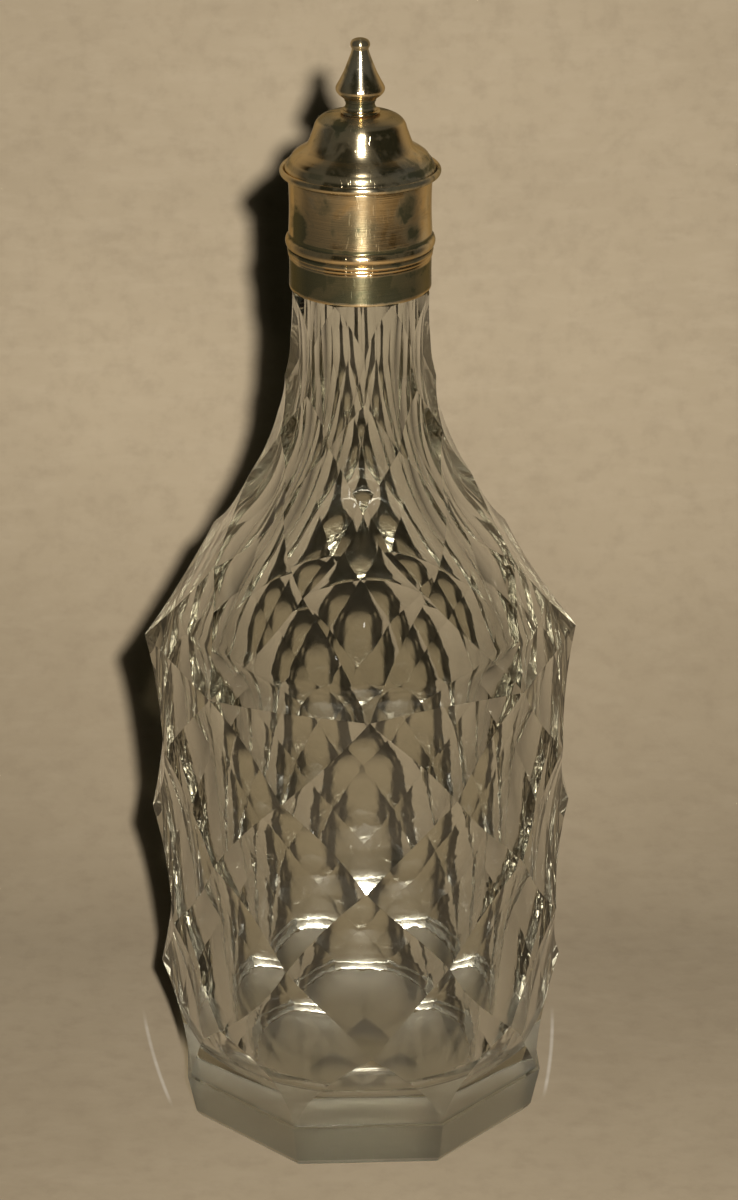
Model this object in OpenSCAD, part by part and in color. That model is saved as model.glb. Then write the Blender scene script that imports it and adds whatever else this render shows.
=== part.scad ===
// Cut crystal decanter with a silver-gilt neck mount and a lift-off cover.
// Millimetres, Z up, origin at the middle of the underside of the foot, front towards -Y.

/* [Bottle] */
// height of the ridge round the shoulder
shoulder_z = 125; // [100:1:150]
// radius of the ridge round the shoulder, at its corners
shoulder_r = 52.6; // [42:0.1:64]
// how much wider the shoulder is than the lowest cut row
body_taper = 3; // [0:0.1:6]
// radius of the foot at its corners, underneath
foot_r = 45.7; // [38:0.1:52]
// height of the plain foot
foot_h = 12; // [9:0.5:16]
// columns of diamonds round the bottle
columns = 8; // [7:1:10]
// how each diamond curves from its middle to its tips; 2 is the round edge of a wheel
grind = 2; // [1.8:0.1:2.4]
// thickness of glass from a shoulder corner to the inside
wall = 14.2; // [12:0.1:18]
// thickness of glass under the floor of the inside
floor_t = 17; // [14:0.5:22]

/* [Neck] */
// radius of the cut neck just under the mount
neck_r = 17.1; // [15:0.1:21]
// height of cut glass from the shoulder ridge to the mount
neck_h = 88.4; // [74:0.2:106]
// radius of the bore through the neck
bore_r = 9.6; // [8:0.1:10.6]
// height of the ground neck hidden in the mount
finish_h = 18; // [15:0.5:21]

/* [Mount] */
// height of the whole neck mount
mount_h = 26.8; // [24:0.2:32]
// thickness of the metal
metal_t = 0.6; // [0.4:0.05:0.8]
// thickness of the plaster bedding
bedding_t = 0.4; // [0.3:0.05:0.6]

/* [Cover] */
// height of the cover from the rim to the finial seat
cover_h = 14.6; // [12:0.2:18]
// radius of the small dome on the cover
dome_r = 11; // [9:0.1:12.5]
// height of the finial above its seat
finial_h = 16.6; // [13:0.2:21]
// radius of the belly of the finial
belly_r = 5.7; // [4.5:0.1:7]
// how deep the cork reaches below the top of the glass
cork_in = 13; // [8:0.5:16]

/* [Hidden] */
$fn = 96;

// cut rows, from the foot up: height and corner radius of each
body_rows = 6;
row_h = (shoulder_z - foot_h) / (body_rows - 1);
neck_steps = [0, 0.27, 0.465, 0.62, 0.745, 1];
neck_flare = [1, 0.606, 0.268, 0.105, 0.022, 0];
neck_top = shoulder_z + neck_h;
foot_top_r = foot_r + 2.2;
rows = body_rows + len(neck_steps) - 2;
half = 180 / columns;
first_turn = 2.4;
wander = 1.5;
sway = 0.9;
steps = 6;

// ground neck, mount and cover
finish_r = neck_r * cos(half) - 0.2;
finish_top = neck_top + finish_h;
shell_in = finish_r + bedding_t;
shell_r = shell_in + metal_t;
mount_z = neck_top + 0.1;
mount_top = mount_z + mount_h;
apron_top = mount_z + mount_h * 0.29;
reeds_top = mount_z + mount_h * 0.36;
bead_top = mount_z + mount_h * 0.475;
lip_t = 0.8;
rest_gap = 0.15;
rim_wire = 0.95;
rim_r = shell_r + 1.15;
rim_z = mount_top + rest_gap + rim_wire;
seat_z = rim_z + cover_h - rim_wire - 0.2;
bezel_gap = 0.1;
bezel_r = shell_in - bezel_gap;
bezel_z = finish_top + lip_t + 1.2;
plate_z = rim_z + 0.7;
plate_t = 0.9;
washer_t = 1.2;
cork_top = plate_z - washer_t;
cork_z = finish_top - cork_in;
cork_gap = 0.25;
cork_r = bore_r - cork_gap;
end_t = 1;
rod_r = 1.3;
nut_h = 2.4;
nut_r = 2.9;
seat_h = 0.9;
finial_z = seat_z + seat_h;

function row_z(k) = k < body_rows ? foot_h + k * row_h
    : shoulder_z + neck_h * neck_steps[k - body_rows + 1];
function row_r(k) = k < body_rows
    ? shoulder_r - body_taper * pow(1 - k / (body_rows - 1), 1.3) - (k == 0 ? 2.6 : 0)
    : neck_r + (shoulder_r - neck_r) * neck_flare[k - body_rows + 1];

// The wheel cuts flat across and round up and down, so every level is a straight-sided ring of
// 2 * columns sides. Side i is widest on the rows where i + k is even and shuts to a tip on the others.
flat = cos(half);
function mid_r(k) = flat * row_r(k);
function rise(k) = row_z(k + 1) - row_z(k);

// how steeply the middle of a diamond on row k leans
function lean(k) = k == 0 || k == rows || k == body_rows - 1 ? 0
    : (pow(rise(k - 1), 2) * (row_r(k + 1) - mid_r(k)) + pow(rise(k), 2) * (mid_r(k) - row_r(k - 1)))
        / (rise(k - 1) * rise(k) * (rise(k - 1) + rise(k)));
function lean_up(k) = k == body_rows - 1 ? 1.25 * (row_r(k + 1) - mid_r(k)) / rise(k) : lean(k);

// distance of a side from the axis, a share u of the way from its middle to the tip above or below
function arm_up(k, u) = let (m = lean_up(k) * rise(k))
    mid_r(k) + m * u + (row_r(k + 1) - mid_r(k) - m) * pow(u, grind);
function arm_down(k, u) = let (m = lean(k) * rise(k - 1))
    mid_r(k) - m * u + (row_r(k - 1) - mid_r(k) + m) * pow(u, grind);

// both sides at a share u from row k to row k + 1, the narrower one never quite shut
function pair(k, u) = let (shut = 0.9985 / flat, p = arm_up(k, u), q = arm_down(k + 1, 1 - u),
    wide = min(p, q * shut)) [wide, min(q, wide * shut)];

// hand cutting: the rings turn and rise a little, and not at the foot or the mount
function fade(z) = max(0, min(1, (z - foot_h) / 12, (neck_top - z) / 12));
function drift(p) = let (
    a = atan2(p[0], -p[1]), r = norm([p[0], p[1]]), z = p[2],
    b = a + fade(z) * wander * (sin(3 * a + 4 * z) + 0.6 * sin(5 * a - 7 * z + 40)) / 1.6,
    d = fade(z) * sway * (sin(2 * a + 5 * z + 70) + 0.6 * sin(5 * a + 3 * z)) / 1.6)
    [r * sin(b), -r * cos(b), z + d];

round_n = 2 * columns;
rise_n = rows * steps;
function skin_at(j, m) = let (
    k = min(floor(m / steps), rows - 1), u = m / steps - k, both = pair(k, u),
    p = both[(j + k) % 2], q = both[(j + k + 1) % 2],
    a = j * half + first_turn, t = (q - p * flat) / sin(half))
    drift([p * sin(a) + t * cos(a), -p * cos(a) + t * sin(a), row_z(k) + u * rise(k)]);

module cut_skin() {
    points = [for (m = [0:rise_n], j = [0:round_n - 1]) skin_at(j, m)];
    low = round_n * (rise_n + 1);
    sides = [for (m = [0:rise_n - 1], j = [0:round_n - 1])
        let (n = (j + 1) % round_n, p = m * round_n, q = p + round_n)
        each [[p + n, p + j, q + j], [p + n, q + j, q + n]]];
    caps = [for (j = [0:round_n - 1]) let (n = (j + 1) % round_n)
        each [[j, n, low], [rise_n * round_n + n, rise_n * round_n + j, low + 1]]];
    polyhedron(points = concat(points, [[0, 0, row_z(0)], [0, 0, neck_top]]),
        faces = concat(sides, caps), convexity = 6);
}

// plain foot with one side under each column and a small bevel round its underside
module foot() {
    turn = first_turn - 90;
    a = [for (j = [0:columns - 1]) (2 * j + 1) * half + turn];
    bevel = 1.1;
    levels = [[0, foot_r - bevel], [bevel * 1.4, foot_r], [foot_h, foot_top_r]];
    n = columns;
    points = [for (l = levels, t = a) [l[1] * cos(t), l[1] * sin(t), l[0]]];
    side = [for (l = [0:len(levels) - 2], j = [0:n - 1]) let (m = (j + 1) % n)
        [l * n + j, (l + 1) * n + j, (l + 1) * n + m, l * n + m]];
    polyhedron(points = points, convexity = 4, faces = concat(side,
        [[for (j = [0:n - 1]) j], [for (j = [n - 1:-1:0]) (len(levels) - 1) * n + j]]));
}

// the inside: a rounded floor, straight sides, a sloping shoulder and the bore
module inside() {
    r = shoulder_r - wall;
    low_r = r - body_taper * 0.5;
    round_r = 7;
    s = shoulder_z;
    rotate_extrude() polygon(concat([[0, floor_t - 0.8], [low_r - round_r - 6, floor_t - 0.5]],
        [for (t = [0:15:90]) [low_r - round_r + round_r * sin(t), floor_t + round_r * (1 - cos(t))]],
        [[r, s - 9], [r - 0.4, s], [r - 1.8, s + neck_h * 0.05], [r * 0.89, s + neck_h * 0.115],
        [r * 0.79, s + neck_h * 0.2], [r * 0.665, s + neck_h * 0.28],
        [bore_r + r * 0.27, s + neck_h * 0.36], [bore_r + r * 0.15, s + neck_h * 0.45],
        [bore_r + r * 0.06, s + neck_h * 0.56], [bore_r + 0.5, s + neck_h * 0.69],
        [bore_r, s + neck_h * 0.83],
        [bore_r, finish_top + 1], [0, finish_top + 1]]));
}

module glass_bottle() {
    color([0.86, 0.89, 0.86, 0.45])
    difference() {
        union() {
            cut_skin();
            foot();
            translate([0, 0, foot_h - 1]) cylinder(r = row_r(0) * cos(half) - 3, h = 3);
            translate([0, 0, neck_top - 0.6]) cylinder(r = finish_r, h = finish_h + 0.6);
        }
        inside();
    }
}

module ring(r_in, r_out, z, h) {
    translate([0, 0, z]) difference() {
        cylinder(r = r_out, h = h);
        translate([0, 0, -1]) cylinder(r = r_in, h = h + 2);
    }
}

module turned(profile) {
    rotate_extrude() polygon(profile);
}

module neck_bedding() {
    color([0.83, 0.8, 0.72]) ring(finish_r, shell_in, mount_z + 0.3, finish_h - 0.7);
}

module collar_apron() {
    color([0.72, 0.6, 0.36])
    turned([[shell_in, mount_z], [shell_r - 0.12, mount_z], [shell_r + 0.02, mount_z + 0.35],
        [shell_r + 0.02, apron_top - 0.3], [shell_r - 0.06, apron_top], [shell_in, apron_top]]);
}

module collar_reeds() {
    h = (reeds_top - apron_top) / 2;
    color([0.75, 0.63, 0.38])
    turned(concat([[shell_in, apron_top]],
        [for (n = [0:1], t = [-75:25:75]) [shell_r - 0.02 + 0.3 * n * 0.5 + 0.3 * cos(t),
            apron_top + h * (n + 0.5) + h * 0.48 * sin(t) / sin(75)]],
        [[shell_in, reeds_top]]));
}

module collar_bead() {
    h = bead_top - reeds_top;
    color([0.75, 0.63, 0.38])
    turned(concat([[shell_in, reeds_top], [shell_r, reeds_top]],
        [for (t = [-80:16:80]) [shell_r - 0.1 + 0.98 * cos(t), reeds_top + h / 2 + h * 0.42 * sin(t)]],
        [[shell_r, bead_top], [shell_in, bead_top]]));
}

module collar_band() {
    h = mount_top - bead_top;
    color([0.72, 0.6, 0.36])
    turned(concat([[shell_in, bead_top]],
        [for (t = [0:0.125:1]) [shell_r + 0.16 - 0.24 * sin(180 * t), bead_top + t * (h - 0.3)]],
        [[shell_r, mount_top], [shell_in, mount_top]]));
}

module mouth_ring() {
    color([0.78, 0.68, 0.46])
    turned([[bore_r + 0.5, finish_top], [shell_in, finish_top], [shell_in, finish_top + lip_t],
        [bore_r + 1.1, finish_top + lip_t], [bore_r + 0.6, finish_top + lip_t * 0.8]]);
}

// outside of the cover, from the rim wire to the finial seat, as shares of its height
function cover_line(t) = [for (p = [
        [rim_r - 0.25, 0.9], [rim_r - 0.6, 1.2], [rim_r - 0.85, 1.7], [rim_r - 1.05, 2.25],
        [rim_r - 1.3, 2.55], [rim_r - 1.55, 2.75], [rim_r - 2, 3.6],
        [dome_r + (rim_r - dome_r) * 0.52, 4.5], [dome_r + (rim_r - dome_r) * 0.3, 5.35],
        [dome_r + (rim_r - dome_r) * 0.19, 6.1], [dome_r + (rim_r - dome_r) * 0.13, 6.9],
        [dome_r - 0.2, 9.9], [dome_r - 0.4, 10.7], [dome_r - 0.85, 11.55],
        [dome_r - 1.7, 12.35], [dome_r - 3, 12.95], [dome_r - 5, 13.3], [2.4, 13.45]])
    [p[0] - t, rim_z + (p[1] - t * 0.7) * (seat_z - rim_z) / 13.45]];

module cover_dome() {
    outer = cover_line(0);
    inner = cover_line(metal_t);
    n = len(outer);
    color([0.74, 0.62, 0.38])
    turned(concat([[shell_in, mount_top + rest_gap], [rim_r - rim_wire, mount_top + rest_gap],
        [rim_r - rim_wire, rim_z + 0.2], [rim_r - 0.25, rim_z + 0.2]], outer,
        [[rod_r + 0.1, seat_z], [rod_r + 0.1, seat_z - metal_t]],
        [for (i = [n - 2:-1:3]) inner[i]], [[shell_in, rim_z + plate_t + 1]]));
}

module cover_rim() {
    color([0.77, 0.65, 0.4])
    translate([0, 0, rim_z]) rotate_extrude() translate([rim_r, 0]) difference() {
        circle(r = rim_wire, $fn = 48);
        translate([-rim_wire, 0.2]) square([rim_wire - 0.25, rim_wire]);
    }
}

module cover_bezel() {
    color([0.8, 0.72, 0.52])
    ring(bezel_r - metal_t, bezel_r, bezel_z, plate_z - bezel_z);
}

module top_plate() {
    color([0.78, 0.7, 0.5]) ring(rod_r, shell_in, plate_z, plate_t);
}

module sealing_washer() {
    color([0.42, 0.3, 0.2]) ring(rod_r, cork_r + 0.6, cork_top, washer_t);
}

module cork_plug() {
    color([0.7, 0.52, 0.34]) difference() {
        translate([0, 0, cork_z]) cylinder(r1 = cork_r - 0.25, r2 = cork_r, h = cork_top - cork_z);
        translate([0, 0, cork_z - 1]) cylinder(r = rod_r, h = cork_top - cork_z + 2);
    }
}

module end_plate() {
    color([0.78, 0.7, 0.5]) ring(rod_r, cork_r - 0.9, cork_z - end_t, end_t);
}

module tie_rod() {
    color([0.7, 0.6, 0.4])
    translate([0, 0, cork_z - end_t - nut_h - 0.8])
        cylinder(r = rod_r, h = finial_z + 3 - (cork_z - end_t - nut_h - 0.8));
}

module lock_nut() {
    color([0.72, 0.62, 0.42])
    translate([0, 0, cork_z - end_t - nut_h]) difference() {
        linear_extrude(nut_h) circle(r = nut_r, $fn = 6);
        translate([0, 0, -1]) cylinder(r = rod_r, h = nut_h + 2);
    }
}

module finial_seat() {
    color([0.77, 0.65, 0.4])
    turned([[rod_r, seat_z], [4.1, seat_z], [4.6, seat_z + 0.25], [4.7, seat_z + 0.5],
        [4.5, seat_z + 0.8], [4.1, seat_z + seat_h], [rod_r, seat_z + seat_h]]);
}

module finial() {
    k = finial_h / 16.6;
    b = belly_r;
    color([0.74, 0.62, 0.38]) difference() {
        translate([0, 0, finial_z]) turned([[0, 0], [3.95, 0], [3.8, 0.3 * k], [3.45, 0.8 * k],
            [3.35, 1.3 * k], [3.45, 1.8 * k], [3.65, 2.1 * k], [3.7, 2.4 * k], [b * 0.7, 2.8 * k],
            [b * 0.87, 3.5 * k], [b * 0.97, 4.2 * k], [b, 4.8 * k], [b * 0.985, 5.3 * k],
            [b * 0.93, 5.9 * k], [b * 0.84, 6.8 * k], [b * 0.75, 7.8 * k], [b * 0.655, 8.9 * k],
            [b * 0.565, 10.2 * k], [b * 0.47, 11.6 * k], [b * 0.38, 13 * k], [b * 0.335, 13.9 * k],
            [b * 0.335, 14.2 * k], [b * 0.37, 14.5 * k], [b * 0.4, 15 * k], [b * 0.39, 15.5 * k],
            [b * 0.33, 16.1 * k], [b * 0.2, 16.45 * k], [0, 16.6 * k]]);
        translate([0, 0, finial_z - 1]) cylinder(r = rod_r, h = 4.2);
    }
}

glass_bottle();
neck_bedding();
collar_apron();
collar_reeds();
collar_bead();
collar_band();
mouth_ring();
cover_dome();
cover_rim();
cover_bezel();
top_plate();
sealing_washer();
cork_plug();
end_plate();
tie_rod();
lock_nut();
finial_seat();
finial();
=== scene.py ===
import math
import bpy
import numpy as np
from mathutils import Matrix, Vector


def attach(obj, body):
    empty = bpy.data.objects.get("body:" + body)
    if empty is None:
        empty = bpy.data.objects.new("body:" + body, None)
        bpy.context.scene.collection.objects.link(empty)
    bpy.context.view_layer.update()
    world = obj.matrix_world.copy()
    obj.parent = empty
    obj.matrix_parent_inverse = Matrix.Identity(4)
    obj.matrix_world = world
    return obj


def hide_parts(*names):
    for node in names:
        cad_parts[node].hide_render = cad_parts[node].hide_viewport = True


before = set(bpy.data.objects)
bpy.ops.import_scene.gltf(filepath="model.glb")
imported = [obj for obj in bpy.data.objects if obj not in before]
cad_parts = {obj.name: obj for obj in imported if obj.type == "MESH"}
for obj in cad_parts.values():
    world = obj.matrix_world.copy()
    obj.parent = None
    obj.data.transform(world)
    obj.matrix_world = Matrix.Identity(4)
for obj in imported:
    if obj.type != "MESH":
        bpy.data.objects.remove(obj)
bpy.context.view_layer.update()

mm = 0.001


class Wire:
    # a value socket that takes part in plain arithmetic
    def __init__(self, look, socket):
        self.look = look
        self.socket = socket

    def maths(self, operation, *values):
        return self.look.add("Math", {"operation": operation}, dict(enumerate(values)))

    def __add__(self, other):
        return self.maths("ADD", self, other)

    def __sub__(self, other):
        return self.maths("SUBTRACT", self, other)

    def __rsub__(self, other):
        return self.maths("SUBTRACT", other, self)

    def __mul__(self, other):
        return self.maths("MULTIPLY", self, other)

    def __pow__(self, other):
        return self.maths("POWER", self, other)

    __radd__ = __add__
    __rmul__ = __mul__

    def between(self, low, high):
        # 0 below low, 1 above high, smooth between
        return self.look.add("MapRange", {"interpolation_type": "SMOOTHSTEP"},
                             {"Value": self, "From Min": low, "From Max": high})


class Look:
    # one material; add() makes any node from its type, its settings and its inputs
    def __init__(self, name):
        self.material = bpy.data.materials.new(name)
        self.material.use_nodes = True
        self.tree = self.material.node_tree
        self.tree.nodes.clear()

    def add(self, kind, settings=None, inputs=None, output=0):
        node = self.tree.nodes.new("ShaderNode" + kind)
        for name, value in (settings or {}).items():
            setattr(node, name, value)
        for name, value in (inputs or {}).items():
            socket = self.socketOf(node.inputs, name)
            if isinstance(value, Wire):
                self.tree.links.new(value.socket, socket)
            else:
                socket.default_value = value
        return Wire(self, self.socketOf(node.outputs, output))

    def socketOf(self, sockets, name):
        if isinstance(name, int):
            return sockets[name]
        return next(s for s in sockets if name in (s.identifier, s.name))

    def place(self, scale=(1, 1, 1)):
        # object coordinates in metres, stretched by scale
        raw = self.add("TexCoord", output="Object")
        return self.add("Mapping", None, {"Vector": raw, "Scale": scale})

    def noise(self, scale, vector, detail=3.0, rough=0.5, warp=0.0):
        return self.add("TexNoise", None, {"Vector": vector, "Scale": scale, "Detail": detail,
                                           "Roughness": rough, "Distortion": warp}, "Fac")

    def blendColour(self, share, first, second):
        return self.add("Mix", {"data_type": "RGBA"},
                        {"Factor_Float": share, "A_Color": first, "B_Color": second}, "Result_Color")

    def bump(self, height, distance, strength=1.0):
        return self.add("Bump", None, {"Height": height, "Distance": distance, "Strength": strength})

    def finish(self, surface, volume=None):
        inputs = {"Surface": surface}
        if volume is not None:
            inputs["Volume"] = volume
        end = self.tree.nodes.new("ShaderNodeOutputMaterial")
        for name, value in inputs.items():
            self.tree.links.new(value.socket, end.inputs[name])
        return self.material


def colour(red, green, blue):
    return (red, green, blue, 1.0)


def putPiece(name, points, faces, material, body, nodes, sharpDegrees=30):
    # points and faces become a mesh whose faces look outwards: the signed volume tells which way they look
    points = np.asarray(points, float)
    corner = points[np.asarray([f[:3] for f in faces])]
    volume = np.einsum("ij,ij->i", corner[:, 0], np.cross(corner[:, 1], corner[:, 2])).sum()
    if volume < 0:
        faces = [f[::-1] for f in faces]
    mesh = bpy.data.meshes.new(name)
    mesh.from_pydata(points.tolist(), [], faces)
    mesh.polygons.foreach_set("use_smooth", np.ones(len(mesh.polygons), bool))
    mesh.set_sharp_from_angle(angle=math.radians(sharpDegrees))
    mesh.update()
    mesh.materials.append(material)
    piece = bpy.data.objects.new(name, mesh)
    bpy.context.scene.collection.objects.link(piece)
    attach(piece, body)
    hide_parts(*nodes)
    return piece


def gridFaces(rings, around, start=0, loop=False):
    # quads between neighbouring rings
    ring = np.arange(rings if loop else rings - 1)[:, None]
    column = np.arange(around)[None, :]
    a = start + ring * around + column
    b = start + ring * around + (column + 1) % around
    c = start + ((ring + 1) % rings) * around + (column + 1) % around
    d = start + ((ring + 1) % rings) * around + column
    return np.stack([a, b, c, d], -1).reshape(-1, 4).tolist()


def fanFaces(ringStart, around, pole, up):
    column = np.arange(around)
    following = (column + 1) % around
    first, second = (column, following) if up else (following, column)
    return np.stack([ringStart + first, ringStart + second, np.full(around, pole)], -1).tolist()


def roundCorners(corners, radius, steps=4):
    # each corner of a line gives way to a curve: (1-t)^2 start + 2t(1-t) corner + t^2 end
    corners = np.asarray(corners, float)
    before = np.roll(corners, 1, 0) - corners
    after = np.roll(corners, -1, 0) - corners
    longBefore = np.linalg.norm(before, axis=1, keepdims=True)
    longAfter = np.linalg.norm(after, axis=1, keepdims=True)
    reach = np.minimum(radius, 0.42 * np.minimum(longBefore, longAfter))
    start = corners + before / longBefore * reach
    end = corners + after / longAfter * reach
    t = np.linspace(0, 1, steps)[None, :, None]
    line = (1 - t) ** 2 * start[:, None] + 2 * t * (1 - t) * corners[:, None] + t ** 2 * end[:, None]
    return line.reshape(-1, 2)


def turnedSurface(profile, around, wobble=None):
    # a profile of (radius, height) carried round the Z axis: x = r sin a, y = -r cos a
    angle = np.linspace(0, 2 * np.pi, around, endpoint=False)[None, :]
    radius = profile[:, :1] + 0 * angle
    height = profile[:, 1:] + 0 * angle
    if wobble is not None:
        radius = radius + wobble(radius, height, angle)
    return np.stack([radius * np.sin(angle), -radius * np.cos(angle), height], -1)


def turnedPiece(name, corners, material, body, radius=0.12, around=144, wobble=None, sharp=40,
                steps=4):
    # a closed outline turned into a ring; an outline that touches the axis closes on it
    profile = roundCorners(corners, radius, steps)
    keep = np.linalg.norm(profile - np.roll(profile, 1, 0), axis=1) > 1e-5
    profile = profile[keep]
    profile[:, 0] = np.maximum(profile[:, 0], 0.02)
    points = turnedSurface(profile, around, wobble).reshape(-1, 3) * mm
    faces = gridFaces(len(profile), around, loop=True)
    return putPiece(name + "_piece", points, faces, material, body, [name], sharp)


def dents(depth, seed):
    # soft handling dents, inwards only: low waves round and along the metal
    def push(radius, height, angle):
        wave = np.sin(2 * angle + seed) * np.sin(0.31 * height + 2 * seed)
        wave += 0.7 * np.sin(5 * angle - 1.3 * seed + 0.21 * height)
        wave += 0.5 * np.sin(3 * angle + 0.9 * height + seed)
        return -depth * np.clip(wave + 0.4, 0, None) / 2.6
    return push


bottle = {
    "shoulderHeight": 125, "shoulderRadius": 52.6, "bodyTaper": 3, "footRadius": 45.7,
    "footHeight": 12, "footFlare": 2.2, "footBevel": 1.1, "columns": 8, "grind": 2,
    "wall": 14.2, "floorThickness": 17, "neckRadius": 17.1, "neckHeight": 88.4, "boreRadius": 9.6,
    "finishHeight": 18, "firstTurn": 2.4, "wander": 1.5, "sway": 0.9, "bodyRows": 6,
    "neckSteps": [0, 0.27, 0.465, 0.62, 0.745, 1], "neckFlare": [1, 0.606, 0.268, 0.105, 0.022, 0],
    "finenessAcross": 10, "finenessUp": 20,
}
mount = {"height": 26.8, "metal": 0.6, "bedding": 0.4, "restGap": 0.15, "rimWire": 0.95, "lip": 0.8}
cover = {"height": 14.6, "domeRadius": 11, "plate": 0.9, "washer": 1.2, "corkIn": 13, "corkGap": 0.25,
         "endPlate": 1, "rod": 1.3, "nutHeight": 2.4, "nutRadius": 2.9, "seat": 0.9}

neckTop = bottle["shoulderHeight"] + bottle["neckHeight"]
finishRadius = bottle["neckRadius"] * math.cos(math.pi / bottle["columns"]) - 0.2
finishTop = neckTop + bottle["finishHeight"]
shellIn = finishRadius + mount["bedding"]
shellOut = shellIn + mount["metal"]
mountBase = neckTop + 0.1
mountTop = mountBase + mount["height"]
apronTop = mountBase + mount["height"] * 0.29
reedsTop = mountBase + mount["height"] * 0.36
beadTop = mountBase + mount["height"] * 0.475
rimRadius = shellOut + 1.15
rimHeight = mountTop + mount["restGap"] + mount["rimWire"]
seatHeight = rimHeight + cover["height"] - mount["rimWire"] - 0.2
bezelRadius = shellIn - 0.1
bezelBase = finishTop + mount["lip"] + 1.2
plateHeight = rimHeight + 0.7
corkTop = plateHeight - cover["washer"]
corkBase = finishTop - cover["corkIn"]
corkRadius = bottle["boreRadius"] - cover["corkGap"]
finialBase = seatHeight + cover["seat"]


camera = {"side": 2.0, "away": 789.6, "height": 473.4, "downDegrees": 23.3, "lens": 106.34}
lamp = {"right": 37, "up": 30, "radius": 10, "power": 4.75, "spreadDegrees": 125,
        "glowRadius": 22, "glowPower": 0.25}
sweep = {"front": -2200, "bend": 70, "bendRadius": 190, "leanDegrees": 82, "top": 1500, "half": 1900}


def placeCamera():
    data = bpy.data.cameras.new("camera")
    data.lens = camera["lens"]
    data.sensor_width = 36
    data.clip_start = 0.01
    eye = bpy.data.objects.new("camera", data)
    eye.location = (camera["side"] * mm, -camera["away"] * mm, camera["height"] * mm)
    eye.rotation_euler = (math.radians(90 - camera["downDegrees"]), 0, 0)
    bpy.context.scene.collection.objects.link(eye)
    bpy.context.scene.camera = eye


paperLook = {
    "dull": colour(0.44, 0.344, 0.222), "pale": colour(0.515, 0.407, 0.266),
    "fleck": colour(0.365, 0.28, 0.18), "fibre": colour(0.55, 0.44, 0.295),
    "floorShade": colour(0.25, 0.185, 0.11), "streak": colour(0.93, 0.85, 0.72),
}
# lines of light on the paper: x at y = 0, how x leans with y, where along y they start and end
streaks = [(-51.8, -0.21, -10, 28), (48.2, 0.096, -6, 30)]


def sweepPaper():
    look = Look("sweepPaper")
    spot = look.place()
    cloud = look.noise(9, spot, 4, 0.55)
    fleck = look.noise(160, spot, 5, 0.6)
    fibre = look.noise(230, look.place((0.3, 0.6, 1)), 4, 0.6)
    tone = look.blendColour(cloud.between(0.25, 0.75), paperLook["dull"], paperLook["pale"])
    tone = look.blendColour(fleck.between(0.42, 0.75) * 0.4, tone, paperLook["fleck"])
    tone = look.blendColour(fibre.between(0.4, 0.8) * 0.45, tone, paperLook["fibre"])
    height = look.add("SeparateXYZ", None, {0: spot}, "Z")
    # painted shade: the paper is darker on its flat part and lighter up the bend
    paintedFloorShade = (1.0 - height.between(0.03, 0.115)) * 0.3
    tone = look.blendColour(paintedFloorShade, tone, paperLook["floorShade"])  # painted shade: the flat part is darker than the bend that rises behind
    for x, lean, start, end in streaks:
        # thin lines of light that the cut glass throws beside the foot
        across = look.add("SeparateXYZ", None, {0: spot}, "X")
        along = look.add("SeparateXYZ", None, {0: spot}, "Y")
        bow = (along - (start + end) / 2 * mm) ** 2 * (1.5 if x < 0 else -1.5)
        off = look.add("Math", {"operation": "ABSOLUTE"}, {0: across - along * lean - x * mm - bow})
        streak = (1.0 - off.between(0.0001, 0.0007)) * along.between((start - 6) * mm, (start + 4) * mm)
        streak = streak * (1.0 - along.between((end - 8) * mm, (end + 8) * mm)) * (0.1 + 0.5 * fibre)
        tone = look.blendColour(streak, tone, paperLook["streak"])
    paper = look.add("BsdfPrincipled", None, {
        "Base Color": tone, "Roughness": 0.86 + 0.1 * cloud,
        "Normal": look.bump(fleck * 0.6 + fibre * 0.4, 0.0004, 0.35)})
    away = look.add("BsdfTransparent")
    back = look.add("NewGeometry", output="Backfacing")
    return look.finish(look.add("MixShader", None, {0: back, 1: paper, 2: away}))


def buildBackdrop():
    # a flat sheet that bends up behind: straight, an arc, straight again, carried along X
    lean = math.radians(sweep["leanDegrees"])
    turn = np.linspace(0, lean, 24)
    y = np.concatenate([[sweep["front"]], sweep["bend"] + sweep["bendRadius"] * np.sin(turn)])
    z = np.concatenate([[0], sweep["bendRadius"] * (1 - np.cos(turn))])
    reach = (sweep["top"] - z[-1]) / math.sin(lean)
    y = np.append(y, y[-1] + reach * math.cos(lean))
    z = np.append(z, sweep["top"])
    x = np.array([-sweep["half"], sweep["half"]])
    points = np.stack([np.tile(x, len(y)), np.repeat(y, 2), np.repeat(z, 2) - 0.25], -1) * mm
    n = np.arange(len(y) - 1) * 2
    faces = np.stack([n, n + 1, n + 3, n + 2], -1).tolist()
    mesh = bpy.data.meshes.new("floor")
    mesh.from_pydata(points.tolist(), [], faces)
    mesh.polygons.foreach_set("use_smooth", np.ones(len(faces), bool))
    mesh.materials.append(sweepPaper())
    floor = bpy.data.objects.new("floor", mesh)
    bpy.context.scene.collection.objects.link(floor)


def aimedLight(name, place, target, size, power, tint, spread=180, shape="DISK"):
    data = bpy.data.lights.new(name, "AREA")
    data.shape = shape
    data.size = size * mm
    data.energy = power
    data.color = tint
    data.spread = math.radians(spread)
    light = bpy.data.objects.new(name, data)
    light.location = np.array(place) * mm
    way = Vector(np.array(target, float) - np.array(place, float))
    light.rotation_euler = way.to_track_quat("-Z", "Y").to_euler()
    bpy.context.scene.collection.objects.link(light)
    return light


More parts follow.
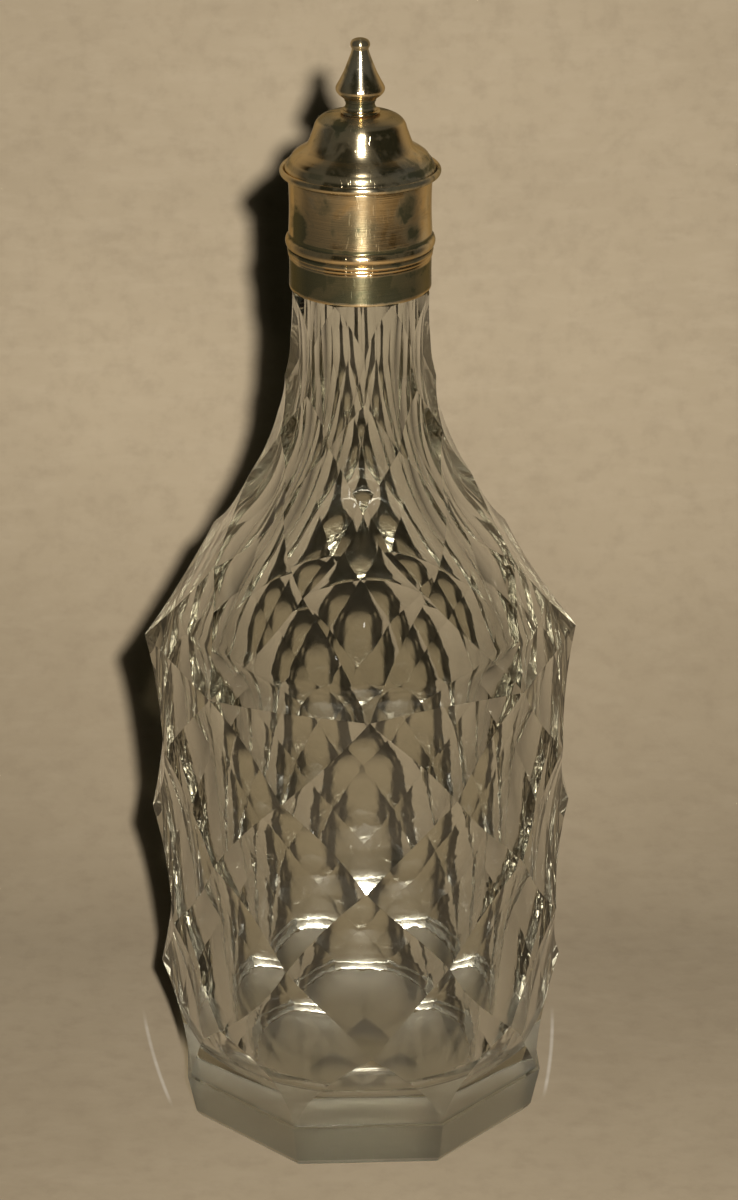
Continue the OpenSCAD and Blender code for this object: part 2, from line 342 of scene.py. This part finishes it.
def placeLights():
    down = math.radians(camera["downDegrees"])
    flash = (camera["side"] + lamp["right"], -camera["away"] + lamp["up"] * math.sin(down),
             camera["height"] + lamp["up"] * math.cos(down))
    aimedLight("flash", flash, (0, 60, 110), lamp["radius"] * 2, lamp["power"], (1, 0.985, 0.955),
               lamp["spreadDegrees"])
    aimedLight("flashGlow", flash, (0, 60, 110), lamp["glowRadius"] * 2, lamp["glowPower"], (1, 0.985, 0.955),
               lamp["spreadDegrees"])
    aimedLight("roomFill", (-500, -500, 1500), (0, 0, 100), 1500, 0.01, (1, 0.97, 0.92))
    world = bpy.data.worlds.new("room")
    bpy.context.scene.world = world
    world.use_nodes = True
    background = world.node_tree.nodes["Background"]
    background.inputs["Color"].default_value = colour(0.82, 0.88, 0.64)
    background.inputs["Strength"].default_value = 0.02


def rowHeight(k):
    rows = bottle["bodyRows"]
    low = bottle["footHeight"] + k * (bottle["shoulderHeight"] - bottle["footHeight"]) / (rows - 1)
    step = np.array(bottle["neckSteps"])[np.clip(k - rows + 1, 0, len(bottle["neckSteps"]) - 1)]
    return np.where(k < rows, low, bottle["shoulderHeight"] + bottle["neckHeight"] * step)


def rowRadius(k):
    rows = bottle["bodyRows"]
    share = np.clip(1 - k / (rows - 1), 0, 1)
    low = bottle["shoulderRadius"] - bottle["bodyTaper"] * share ** 1.3 - np.where(k == 0, 2.6, 0)
    flare = np.array(bottle["neckFlare"])[np.clip(k - rows + 1, 0, len(bottle["neckFlare"]) - 1)]
    high = bottle["neckRadius"] + (bottle["shoulderRadius"] - bottle["neckRadius"]) * flare
    return np.where(k < rows, low, high)


def cutArms(k, u):
    # a diamond's distance from the axis, a share u of the way from its middle on row k to a tip:
    # mid + m u + (tip - mid - m) u^grind, with m the lean of the middle times the rise to that tip
    rows, ridge = bottle["bodyRows"] + len(bottle["neckSteps"]) - 2, bottle["bodyRows"] - 1
    height = rowHeight(np.arange(rows + 1))
    tip = rowRadius(np.arange(rows + 1))
    mid = tip * math.cos(math.pi / bottle["columns"])
    rise = np.diff(height)
    lean = np.zeros(rows + 1)
    lean[1:-1] = ((rise[:-1] ** 2 * (tip[2:] - mid[1:-1]) + rise[1:] ** 2 * (mid[1:-1] - tip[:-2]))
                  / (rise[:-1] * rise[1:] * (rise[:-1] + rise[1:])))
    lean[ridge] = 0
    upward = lean.copy()
    upward[ridge] = 1.25 * (tip[ridge + 1] - mid[ridge]) / rise[ridge]
    m = upward[k] * rise[k]
    climbing = mid[k] + m * u + (tip[k + 1] - mid[k] - m) * u ** bottle["grind"]
    m = lean[k + 1] * rise[k]
    v = 1 - u
    falling = mid[k + 1] - m * v + (tip[k] - mid[k + 1] + m) * v ** bottle["grind"]
    return climbing, falling, height[k] + u * rise[k]


def straightRing(even, odd, height, across):
    # a ring of straight sides, even and odd ones at their own distances p and q from the axis;
    # sides meet t = (q - p cos h) / sin h along from the middle of a side
    columns = 2 * bottle["columns"]
    h = math.pi / bottle["columns"]
    i = np.arange(columns * across)
    side = i // across
    share = (i % across) / across
    p = np.where(side % 2 == 0, even, odd)
    q = np.where(side % 2 == 0, odd, even)
    t = (q - p * math.cos(h)) / math.sin(h) * (2 * share - 1)
    a = side * h + math.radians(bottle["firstTurn"])
    return np.column_stack([p * np.sin(a) + t * np.cos(a), -p * np.cos(a) + t * np.sin(a), height + 0 * a])


def handDrift(points):
    # the cutter's hand: slow waves of turn and rise that die away at the foot and at the mount
    x, y, z = points[..., 0], points[..., 1], points[..., 2]
    a, r, d = np.arctan2(x, -y), np.hypot(x, y), np.radians(z)
    fade = np.clip(np.minimum((z - bottle["footHeight"]) / 12, (neckTop - z) / 12), 0, 1)
    turn = np.sin(3 * a + 4 * d) + 0.6 * np.sin(5 * a - 7 * d + math.radians(40))
    rise = np.sin(2 * a + 5 * d + math.radians(70)) + 0.6 * np.sin(5 * a + 3 * d)
    b = a + fade * math.radians(bottle["wander"]) * turn / 1.6
    return np.stack([r * np.sin(b), -r * np.cos(b), z + fade * bottle["sway"] * rise / 1.6], -1)


def cutSkin(across, up):
    # the wheel cuts flat across and round up and down, so every level is a ring of straight sides
    rows = bottle["bodyRows"] + len(bottle["neckSteps"]) - 2
    shut = 0.9985 / math.cos(math.pi / bottle["columns"])
    rings = []
    for m in range(rows * up + 1):
        k = min(m // up, rows - 1)
        climbing, falling, height = cutArms(k, m / up - k)
        wide = min(climbing, falling * shut)
        narrow = min(falling, wide * shut)
        even, odd = (wide, narrow) if k % 2 == 0 else (narrow, wide)
        rings.append(straightRing(even, odd, height, across))
    return handDrift(np.array(rings))


def insideLine():
    # the inside as (radius, height) from the mouth down to the floor, smoothed through its points
    r = bottle["shoulderRadius"] - bottle["wall"]
    lowRadius = r - bottle["bodyTaper"] * 0.5
    s, h, bore = bottle["shoulderHeight"], bottle["neckHeight"], bottle["boreRadius"]
    floorZ, roundRadius = bottle["floorThickness"], 7
    t = np.radians(np.arange(0, 91, 7.5))
    base = np.column_stack([lowRadius - roundRadius + roundRadius * np.sin(t),
                            floorZ + roundRadius * (1 - np.cos(t))])
    dished = [[2, floorZ - 0.8], [12, floorZ - 0.75], [lowRadius - roundRadius - 6, floorZ - 0.5]]
    base = np.vstack([dished, base])
    high = np.array([[r - 0.2, s - 30], [r, s - 9], [r - 0.4, s], [r - 1.8, s + h * 0.05],
                     [r * 0.89, s + h * 0.115], [r * 0.79, s + h * 0.2], [r * 0.665, s + h * 0.28],
                     [bore + r * 0.27, s + h * 0.36], [bore + r * 0.15, s + h * 0.45],
                     [bore + r * 0.06, s + h * 0.56],
                     [bore + 0.5, s + h * 0.69], [bore, s + h * 0.83], [bore, finishTop - 4]])
    p = np.vstack([high[:1], high, high[-1:]])
    u = np.linspace(0, 1, 7)[None, :-1, None]
    p0, p1, p2, p3 = p[:-3, None], p[1:-2, None], p[2:-1, None], p[3:, None]
    smooth = 0.5 * (2 * p1 + (p2 - p0) * u + (2 * p0 - 5 * p1 + 4 * p2 - p3) * u ** 2
                    + (3 * p1 - p0 - 3 * p2 + p3) * u ** 3)
    line = np.vstack([base, smooth.reshape(-1, 2), high[-1:]])
    return line[::-1]


glassLook = {
    "clear": colour(0.915, 0.92, 0.9), "bright": colour(0.945, 0.945, 0.93),
    # foot is a painted shade tint: the glass of the foot darkened for the shade under it
    "foot": colour(0.6, 0.615, 0.575), "footTop": 0.0125, "index": 1.56,
    "smear": 0.012, "ground": 0.35, "wheelMarks": 0.00012, "ripples": 1.8,
    "depthColour": colour(0.54, 0.51, 0.4), "depth": 13.5,
    "thinShadow": colour(0.95, 0.945, 0.92), "thickShadow": colour(0.09, 0.09, 0.08),
}


def leadGlass():
    look = Look("leadGlass")
    spot = look.place()
    wash = look.noise(38, spot, 3, 0.5)
    smear = look.noise(120, spot, 4, 0.65, 0.6)
    wheel = look.noise(260, look.place((1, 1, 0.35)), 2, 0.4)
    height = look.add("SeparateXYZ", None, {0: spot}, "Z")
    tint = look.blendColour(wash.between(0.35, 0.7), glassLook["clear"], glassLook["bright"])
    # painted shade: the glass below the foot's top is tinted darker, for the shade under the foot seen
    # through it
    paintedFootShade = 1.0 - height.between(glassLook["footTop"] - 0.001, glassLook["footTop"] + 0.001)
    tint = look.blendColour(paintedFootShade, tint, glassLook["foot"])
    ground = 1.0 - height.between(0.00001, 0.0009)
    # the blown inside is rippled where the cut outside is smooth
    reach = look.add("VectorMath", {"operation": "LENGTH"}, {0: look.place((1, 1, 0))}, "Value")
    inner = (1.0 - reach.between(0.0386, 0.039)) * (1.0 - height.between(0.108, 0.122))
    inner = inner * height.between(0.008, 0.012)
    ripple = look.noise(430, look.place((1, 1, 0.7)), 2, 0.5)
    surface = look.add("BsdfPrincipled", None, {
        "Base Color": tint, "IOR": glassLook["index"], "Transmission Weight": 1.0,
        "Roughness": smear.between(0.55, 0.85) * glassLook["smear"] + ground * glassLook["ground"],
        "Normal": look.bump(wheel + ripple * inner * glassLook["ripples"], glassLook["wheelMarks"], 0.18)})
    # the shadow is thin through the body and thick at its edges and through the neck
    facing = look.add("LayerWeight", None, {"Blend": 0.5}, "Facing")
    dense = 1.0 - (1.0 - facing.between(0.27, 0.48)) * (1.0 - height.between(0.14, 0.18))
    dense = dense * height.between(0.018, 0.026)
    light = look.add("BsdfTransparent", None, {"Color": glassLook["thinShadow"]})
    dark = look.add("BsdfTransparent", None, {"Color": glassLook["thickShadow"]})
    through = look.add("MixShader", None, {0: dense, 1: light, 2: dark})
    shadow = look.add("LightPath", output="Is Shadow Ray")
    body = look.add("VolumeAbsorption", None, {"Color": glassLook["depthColour"],
                                               "Density": glassLook["depth"]})
    return look.finish(look.add("MixShader", None, {0: shadow, 1: surface, 2: through}), body)


def buildBottle(material):
    across, up = bottle["finenessAcross"], bottle["finenessUp"]
    around = 2 * bottle["columns"] * across
    skin = cutSkin(across, up)
    foot, bevel = bottle["footRadius"], bottle["footBevel"]
    flat = math.cos(math.pi / bottle["columns"])
    low = [straightRing(r * flat, r * 0.9999, z, across)
           for r, z in [((foot - bevel) * 0.55, 0), (foot - bevel, 0), (foot, bevel * 1.4),
                        (foot + bottle["footFlare"], bottle["footHeight"])]]
    angle = np.radians((np.arange(around) - across / 2) * 360 / around + bottle["firstTurn"])
    circle = np.column_stack([np.sin(angle), -np.cos(angle)])

    def ringAt(radius, height):
        return np.column_stack([circle * radius, np.full(around, float(height))])

    lip = [(finishRadius, neckTop), (finishRadius, finishTop - 0.5), (finishRadius - 0.15, finishTop - 0.15),
           (finishRadius - 0.5, finishTop), (bottle["boreRadius"] + 0.5, finishTop),
           (bottle["boreRadius"] + 0.15, finishTop - 0.15), (bottle["boreRadius"], finishTop - 0.5)]
    high = [ringAt(r, z) for r, z in lip] + [ringAt(r, z) for r, z in insideLine()]
    rings = np.concatenate([np.array(low), skin, np.array(high)])
    points = np.vstack([rings.reshape(-1, 3), [[0, 0, 0], [0, 0, bottle["floorThickness"] - 0.8]]]) * mm
    faces = gridFaces(len(rings), around)
    last = (len(rings) - 1) * around
    faces += fanFaces(0, around, len(points) - 2, False) + fanFaces(last, around, len(points) - 1, True)
    putPiece("glass_bottle_piece", points, faces, material, "bottle", ["glass_bottle"], 5)


def giltSilver(name, gold, silver, tarnishAndReflectionDepth, dull, wear, seed, tarnishAndReflectionBands=(), tarnishAndReflectionBlots=()):
    # polished silver with worn gilding: gold and silver in clouds, green-black tarnish in upright
    # patches and in the low places, fine turning marks and scratches; the upright patches, bands and blots
    # are partly tarnish and partly painted dark reflection; bands are (bottom, top, depth of darkening) in
    # millimetres up the piece, blots are (x, y, z, radius, depth of darkening)
    look = Look(name)
    spot = look.add("Mapping", None, {"Vector": look.add("TexCoord", output="Object"),
                                      "Location": (seed * 0.013, seed * 0.007, 0)})
    tall = look.add("Mapping", None, {"Vector": spot, "Scale": (1, 1, 0.35)})
    cloud = look.noise(60, spot, 4, 0.6, 0.3)
    # upright patches: partly tarnish, partly painted upright dark reflections
    uprightTarnishAndReflection = look.noise(105, tall, 3, 0.55, 0.5)
    blot = look.noise(75, spot, 4, 0.6, 0.8)
    speck = look.noise(420, spot, 4, 0.6)
    grain = look.noise(900, spot, 4, 0.6)
    rings = look.noise(60, look.place((1, 1, 55)), 3, 0.6)
    scratch = look.noise(150, look.place((14, 3, 2)), 2, 0.4)
    hollow = 1.0 - look.add("NewGeometry", output="Pointiness").between(0.42, 0.5)
    base = look.blendColour(cloud.between(0.5 - wear, 0.72 - wear * 0.5), gold, silver)
    tarnishAndPaintedReflection = (uprightTarnishAndReflection.between(0.48, 0.62) * 0.8 + blot.between(0.5, 0.64) * 0.7 + hollow * 0.7
             + speck.between(0.56, 0.72) * 0.35) * tarnishAndReflectionDepth
    height = look.add("SeparateXYZ", None, {0: look.add("TexCoord", output="Object")}, "Z")
    height = height + blot * 0.0009 - 0.00045
    # dark bands up the piece: tarnish in the joints and hollows, painted dark reflection on open faces
    for low, high, depth in tarnishAndReflectionBands:
        begun = height.between((low - 0.3) * mm, (low + 0.3) * mm)
        ended = height.between((high - 0.3) * mm, (high + 0.3) * mm)
        tarnishAndPaintedReflection = tarnishAndPaintedReflection + (begun - ended) * (0.55 + 0.45 * cloud) * depth
    # dark blots round given points: partly tarnish, partly painted dark reflection
    for x, y, z, radius, depth in tarnishAndReflectionBlots:
        away = look.add("VectorMath", {"operation": "DISTANCE"},
                        {0: look.add("TexCoord", output="Object"), 1: (x * mm, y * mm, z * mm)}, "Value")
        away = away + blot * 0.014 - 0.007
        tarnishAndPaintedReflection = tarnishAndPaintedReflection + (1.0 - away.between((radius - 2.4) * mm, (radius + 1.6) * mm)) * depth
    tarnishAndPaintedReflection = look.add("Math", {"operation": "MINIMUM"}, {0: tarnishAndPaintedReflection, 1: 0.94})
    # the green-black of tarnish, which also paints the dark reflections
    base = look.blendColour(tarnishAndPaintedReflection, base, colour(0.085, 0.088, 0.045))
    rough = dull + 0.1 * grain * cloud + 0.1 * tarnishAndPaintedReflection + 0.05 * scratch.between(0.6, 0.75)
    normal = look.bump(rings * 0.45 + grain * 0.12 + scratch.between(0.62, 0.7) * 0.1, 0.00014, 0.6)
    return look.finish(look.add("BsdfPrincipled", None, {
        "Base Color": base, "Metallic": 1.0 - 0.15 * tarnishAndPaintedReflection, "Roughness": rough, "Normal": normal,
        "Specular Tint": colour(0.5, 0.46, 0.36), "Anisotropic": 0.85, "Anisotropic Rotation": 0.25}))


def buildMount(metal, inner, plaster):
    turnedPiece("neck_bedding", [[finishRadius, mountBase + 0.3], [shellIn, mountBase + 0.3],
                                 [shellIn, mountBase + bottle["finishHeight"] - 0.4],
                                 [finishRadius, mountBase + bottle["finishHeight"] - 0.4]],
                plaster, "bottle", 0.05)
    turnedPiece("collar_apron", [
        [shellIn, mountBase], [shellOut - 0.12, mountBase], [shellOut + 0.02, mountBase + 0.35],
        [shellOut - 0.03, (mountBase + apronTop) / 2], [shellOut + 0.02, apronTop - 0.3],
        [shellOut - 0.06, apronTop], [shellIn, apronTop]], metal, "bottle",
        wobble=dents(0.02, 1.1))
    h = (reedsTop - apronTop) / 2
    t = np.radians(np.arange(-75, 76, 12.5))
    reeds = [np.column_stack([shellOut - 0.02 + 0.15 * n + 0.3 * np.cos(t),
                              apronTop + h * (n + 0.5) + h * 0.48 * np.sin(t) / math.sin(math.radians(75))])
             for n in (0, 1)]
    turnedPiece("collar_reeds", np.vstack([[[shellIn, apronTop]], *reeds, [[shellIn, reedsTop]]]),
                metal, "bottle", 0.03, steps=2)
    h = beadTop - reedsTop
    t = np.radians(np.arange(-80, 81, 10))
    bead = np.column_stack([shellOut - 0.1 + 0.98 * np.cos(t), reedsTop + h / 2 + h * 0.42 * np.sin(t)])
    turnedPiece("collar_bead", np.vstack([[[shellIn, reedsTop], [shellOut, reedsTop]], bead,
                                          [[shellOut, beadTop], [shellIn, beadTop]]]),
                metal, "bottle", 0.06, wobble=dents(0.03, 2.7), steps=3)
    h = mountTop - beadTop
    t = np.linspace(0, 1, 15)
    band = np.column_stack([shellOut + 0.16 - 0.24 * np.sin(np.pi * t), beadTop + t * (h - 0.3)])
    ends = [[shellOut, mountTop], [shellIn, mountTop]]
    turnedPiece("collar_band", np.vstack([[[shellIn, beadTop]], band, ends]),
                metal, "bottle", 0.1, wobble=dents(0.035, 4.2), steps=3)
    bore = bottle["boreRadius"]
    lip = finishTop + mount["lip"]
    turnedPiece("mouth_ring", [[bore + 0.5, finishTop], [shellIn, finishTop], [shellIn, lip],
                               [bore + 1.1, lip], [bore + 0.6, lip - mount["lip"] * 0.2]],
                inner, "bottle", 0.1)


def coverOutline():
    # the outside of the cover from the rim wire up to the seat of the finial
    reach = rimRadius - cover["domeRadius"]
    dome = cover["domeRadius"]
    return np.array([
        [rimRadius - 0.25, 0.9], [rimRadius - 0.6, 1.2], [rimRadius - 0.85, 1.7], [rimRadius - 1.05, 2.25],
        [rimRadius - 1.3, 2.55], [rimRadius - 1.55, 2.75], [rimRadius - 2, 3.6], [dome + reach * 0.52, 4.5],
        [dome + reach * 0.3, 5.35], [dome + reach * 0.19, 6.1], [dome + reach * 0.13, 6.9], [dome - 0.2, 9.9],
        [dome - 0.4, 10.7], [dome - 0.85, 11.55], [dome - 1.7, 12.35], [dome - 3, 12.95], [dome - 5, 13.3],
        [2.4, 13.45]])


def coverSkin(thickness):
    line = coverOutline()
    scale = (seatHeight - rimHeight) / 13.45
    return np.column_stack([line[:, 0] - thickness, rimHeight + (line[:, 1] - thickness * 0.7) * scale])


def buildCover(metal, inner):
    metalThickness, wire = mount["metal"], mount["rimWire"]
    outer, underside = coverSkin(0), coverSkin(metalThickness)
    hole = cover["rod"] + 0.1
    rest = mountTop + mount["restGap"]
    outline = np.vstack([
        [[shellIn, rest], [rimRadius - wire, rest], [rimRadius - wire, rimHeight + 0.2],
         [rimRadius - 0.25, rimHeight + 0.2]], outer,
        [[hole, seatHeight], [hole, seatHeight - metalThickness]], underside[-2:2:-1],
        [[shellIn, rimHeight + cover["plate"] + 1]]])
    turnedPiece("cover_dome", outline, metal, "cover", 0.4, wobble=dents(0.05, 0.6), sharp=50)
    t = np.radians(np.arange(-282, 0, 7.5) + 90 - 14)
    ring = np.column_stack([rimRadius + wire * np.cos(t), rimHeight + wire * np.sin(t)])
    ring = ring[(ring[:, 0] > rimRadius - 0.25) | (ring[:, 1] < rimHeight + 0.2)]
    ring = np.vstack([ring, [[rimRadius - 0.25, rimHeight + 0.2]]])
    order = np.argsort(np.arctan2(ring[:, 1] - rimHeight + 0.2, ring[:, 0] - rimRadius - 0.1))
    turnedPiece("cover_rim", ring[order], metal, "cover", 0.02, steps=2)
    turnedPiece("cover_bezel", [[bezelRadius - metalThickness, bezelBase], [bezelRadius, bezelBase],
                                [bezelRadius, plateHeight], [bezelRadius - metalThickness, plateHeight]],
                inner, "cover", 0.15, wobble=dents(0.02, 3.3))
    rod = cover["rod"]
    turnedPiece("top_plate", [[rod, plateHeight], [shellIn, plateHeight],
                              [shellIn, plateHeight + cover["plate"]], [rod, plateHeight + cover["plate"]]],
                inner, "cover", 0.05)
    low, wide = corkBase - cover["endPlate"], corkRadius - 0.9
    turnedPiece("end_plate", [[rod, low], [wide, low], [wide, corkBase], [rod, corkBase]],
                inner, "cover", 0.25)
    z, seat = seatHeight, cover["seat"]
    turnedPiece("finial_seat", [[rod, z], [4.1, z], [4.6, z + 0.25], [4.7, z + 0.5], [4.5, z + 0.8],
                                [4.1, z + seat], [rod, z + seat]], metal, "cover", 0.12)


finialShape = {"height": 16.6, "belly": 5.7}


def buildFinial(metal):
    k = finialShape["height"] / 16.6
    b = finialShape["belly"]
    outline = np.array([
        [3.95, 0], [3.8, 0.3], [3.45, 0.8], [3.35, 1.3], [3.45, 1.8], [3.65, 2.1], [3.7, 2.4], [b * 0.7, 2.8],
        [b * 0.87, 3.5], [b * 0.97, 4.2], [b, 4.8], [b * 0.985, 5.3], [b * 0.93, 5.9], [b * 0.84, 6.8],
        [b * 0.75, 7.8], [b * 0.655, 8.9], [b * 0.565, 10.2], [b * 0.47, 11.6], [b * 0.38, 13],
        [b * 0.335, 13.9], [b * 0.335, 14.2], [b * 0.37, 14.5], [b * 0.4, 15], [b * 0.39, 15.5],
        [b * 0.33, 16.1], [b * 0.2, 16.45], [0.02, 16.6]]) * [1, k] + [0, finialBase]
    rod = cover["rod"]
    socket = [[0.02, finialBase + 3.2], [rod, finialBase + 3.2], [rod, finialBase]]
    turnedPiece("finial", np.vstack([outline, socket]), metal, "cover", 0.3, 96, sharp=45)


def corkLook():
    look = Look("naturalCork")
    spot = look.place()
    cells = look.add("TexVoronoi", {"feature": "F1"}, {"Vector": spot, "Scale": 700.0}, "Distance")
    cloud = look.noise(150, spot, 4, 0.6)
    slits = look.noise(240, look.place((1, 1, 3.2)), 3, 0.7, 0.5).between(0.62, 0.72)
    tone = look.blendColour(cloud.between(0.3, 0.7), colour(0.5, 0.31, 0.16), colour(0.68, 0.48, 0.29))
    tone = look.blendColour(slits, tone, colour(0.16, 0.085, 0.045))
    return look.finish(look.add("BsdfPrincipled", None, {
        "Base Color": tone, "Roughness": 0.78 + 0.15 * cloud,
        "Normal": look.bump(cells * 0.4 - slits, 0.0003, 0.7)}))


def leatherLook():
    look = Look("washerLeather")
    spot = look.place()
    cells = look.add("TexVoronoi", {"feature": "DISTANCE_TO_EDGE"},
                     {"Vector": spot, "Scale": 900.0}, "Distance")
    cloud = look.noise(200, spot, 4, 0.6)
    tone = look.blendColour(cloud, colour(0.12, 0.065, 0.035), colour(0.26, 0.15, 0.08))
    return look.finish(look.add("BsdfPrincipled", None, {
        "Base Color": tone, "Roughness": 0.5 + 0.3 * cloud,
        "Normal": look.bump(cells.between(0, 0.2), 0.0002, 0.6)}))


def plasterLook():
    look = Look("beddingPlaster")
    spot = look.place()
    cloud = look.noise(180, spot, 5, 0.65)
    pits = look.noise(900, spot, 3, 0.6)
    tone = look.blendColour(cloud, colour(0.66, 0.61, 0.5), colour(0.82, 0.79, 0.71))
    return look.finish(look.add("BsdfPrincipled", None, {
        "Base Color": tone, "Roughness": 0.85 + 0.1 * pits, "Normal": look.bump(pits, 0.0002, 0.6)}))


def buildCork(cork, leather, inner):
    rod = cover["rod"]
    t = np.linspace(0, 1, 18)
    side = np.column_stack([corkRadius - 0.25 * (1 - t), corkBase + (corkTop - corkBase) * t])

    def crumble(radius, height, angle):
        # small hollows where the cork has crumbled, inwards only and on the outside alone
        wave = np.sin(7 * angle + 0.9 * height) * np.sin(1.7 * height - 3 * angle)
        return -0.12 * np.clip(wave, 0, None) * (radius > rod + 1)

    turnedPiece("cork_plug", np.vstack([[[rod, corkBase]], side, [[rod, corkTop]]]), cork, "cover",
                0.3, 120, crumble, steps=3)
    turnedPiece("sealing_washer", [[rod, corkTop], [corkRadius + 0.6, corkTop],
                                   [corkRadius + 0.6, plateHeight], [rod, plateHeight]],
                leather, "cover", 0.3)
    buildRod(inner)
    buildNut(inner)


def buildRod(material):
    # a rod with a screw thread: the radius is cut in by a triangle wave of height and turn
    low = corkBase - cover["endPlate"] - cover["nutHeight"] - 0.8
    top = finialBase + 3
    around, pitch = 32, 0.6
    z = np.linspace(low, top, 640)[:, None]
    angle = np.linspace(0, 2 * np.pi, around, endpoint=False)[None, :]
    wave = np.abs(((z / pitch - angle / (2 * np.pi)) % 1) * 2 - 1)
    taper = np.clip(np.minimum(z - low, top - z) / 0.4, 0, 1)
    radius = cover["rod"] - 0.01 - 0.2 * wave - 0.3 * (1 - taper)
    points = np.stack([radius * np.sin(angle), -radius * np.cos(angle), z + 0 * angle], -1).reshape(-1, 3)
    points = np.vstack([points, [[0, 0, low], [0, 0, top]]]) * mm
    faces = gridFaces(len(z), around)
    faces += fanFaces(0, around, len(points) - 2, False)
    faces += fanFaces((len(z) - 1) * around, around, len(points) - 1, True)
    putPiece("tie_rod_piece", points, faces, material, "cover", ["tie_rod"], 60)


def buildNut(material):
    # a six-sided nut: its radius is the flats' or, near both ends, a cone's if that is less
    low = corkBase - cover["endPlate"] - cover["nutHeight"]
    around = 96
    angle = np.linspace(0, 2 * np.pi, around, endpoint=False)[None, :]
    z = np.array([0, 0, 0.12, 0.3, 1.2, 2.1, 2.28, 2.4, 2.4])[:, None]
    flat = cover["nutRadius"] * math.cos(math.pi / 6) / np.cos((angle - np.pi / 2) % (np.pi / 3) - np.pi / 6)
    cone = cover["nutRadius"] * 0.9 + 1.3 * np.minimum(z, 2.4 - z)
    radius = np.minimum(flat, cone)
    radius[0] = radius[-1] = cover["rod"] + 0.01
    points = np.stack([radius * np.sin(angle), -radius * np.cos(angle), low + z + 0 * angle], -1)
    faces = gridFaces(len(z), around, loop=True)
    putPiece("lock_nut_piece", points.reshape(-1, 3) * mm, faces, material, "cover", ["lock_nut"],
             25)


placeCamera()
buildBackdrop()
placeLights()
print("camera, sweep and lights placed")

buildBottle(leadGlass())
print("glass cut")

# the mount's bands: painted dark reflection on the apron, tarnish in the joints; its blots at the front and
# sides are partly tarnish, partly painted dark reflection
mountMetal = giltSilver(
    "mountGilding", colour(0.92, 0.68, 0.37), colour(0.95, 0.82, 0.58), 0.5, 0.15, 0.04, 3,
    [(mountBase + 0.7, apronTop - 0.6, 1.15), (reedsTop - 0.5, reedsTop + 0.5, 0.8),
     (beadTop - 0.4, beadTop + 0.7, 1.1)],
    [(-1.5, -shellOut, beadTop + 5.2, 4.4, 0.6), (11.2, -12.2, beadTop + 9, 2.8, 0.9),
     (11.6, -11.8, beadTop + 4, 2.8, 0.9), (-14.5, -8, beadTop + 5, 3.4, 0.8)])
# the cover's bands are tarnish in its hollows; its blot at the front left is partly tarnish, partly painted
# dark reflection
coverMetal = giltSilver(
    "coverGilding", colour(0.86, 0.68, 0.41), colour(0.94, 0.84, 0.64), 0.6, 0.17, 0.05, 8,
    [(finialBase + 0.5, finialBase + 2.6, 1.1), (seatHeight - 1.7, seatHeight - 0.2, 0.75),
     (rimHeight + 1.4, rimHeight + 2.7, 0.5)],
    [(-10, -8, seatHeight - 3.2, 2.6, 0.5)])
innerMetal = giltSilver("innerMetal", colour(0.8, 0.66, 0.42), colour(0.84, 0.76, 0.58), 0.3, 0.24, 0.1, 5)
buildMount(mountMetal, innerMetal, plasterLook())
buildCover(coverMetal, innerMetal)
buildFinial(coverMetal)
buildCork(corkLook(), leatherLook(), innerMetal)
print("mount, cover and cork built")

bpy.context.scene.view_settings.view_transform = "Standard"
cycles = bpy.context.scene.cycles
cycles.max_bounces = 32
cycles.transmission_bounces = 32
cycles.glossy_bounces = 12
cycles.diffuse_bounces = 0
cycles.transparent_max_bounces = 32
cycles.caustics_refractive = False
cycles.caustics_reflective = False
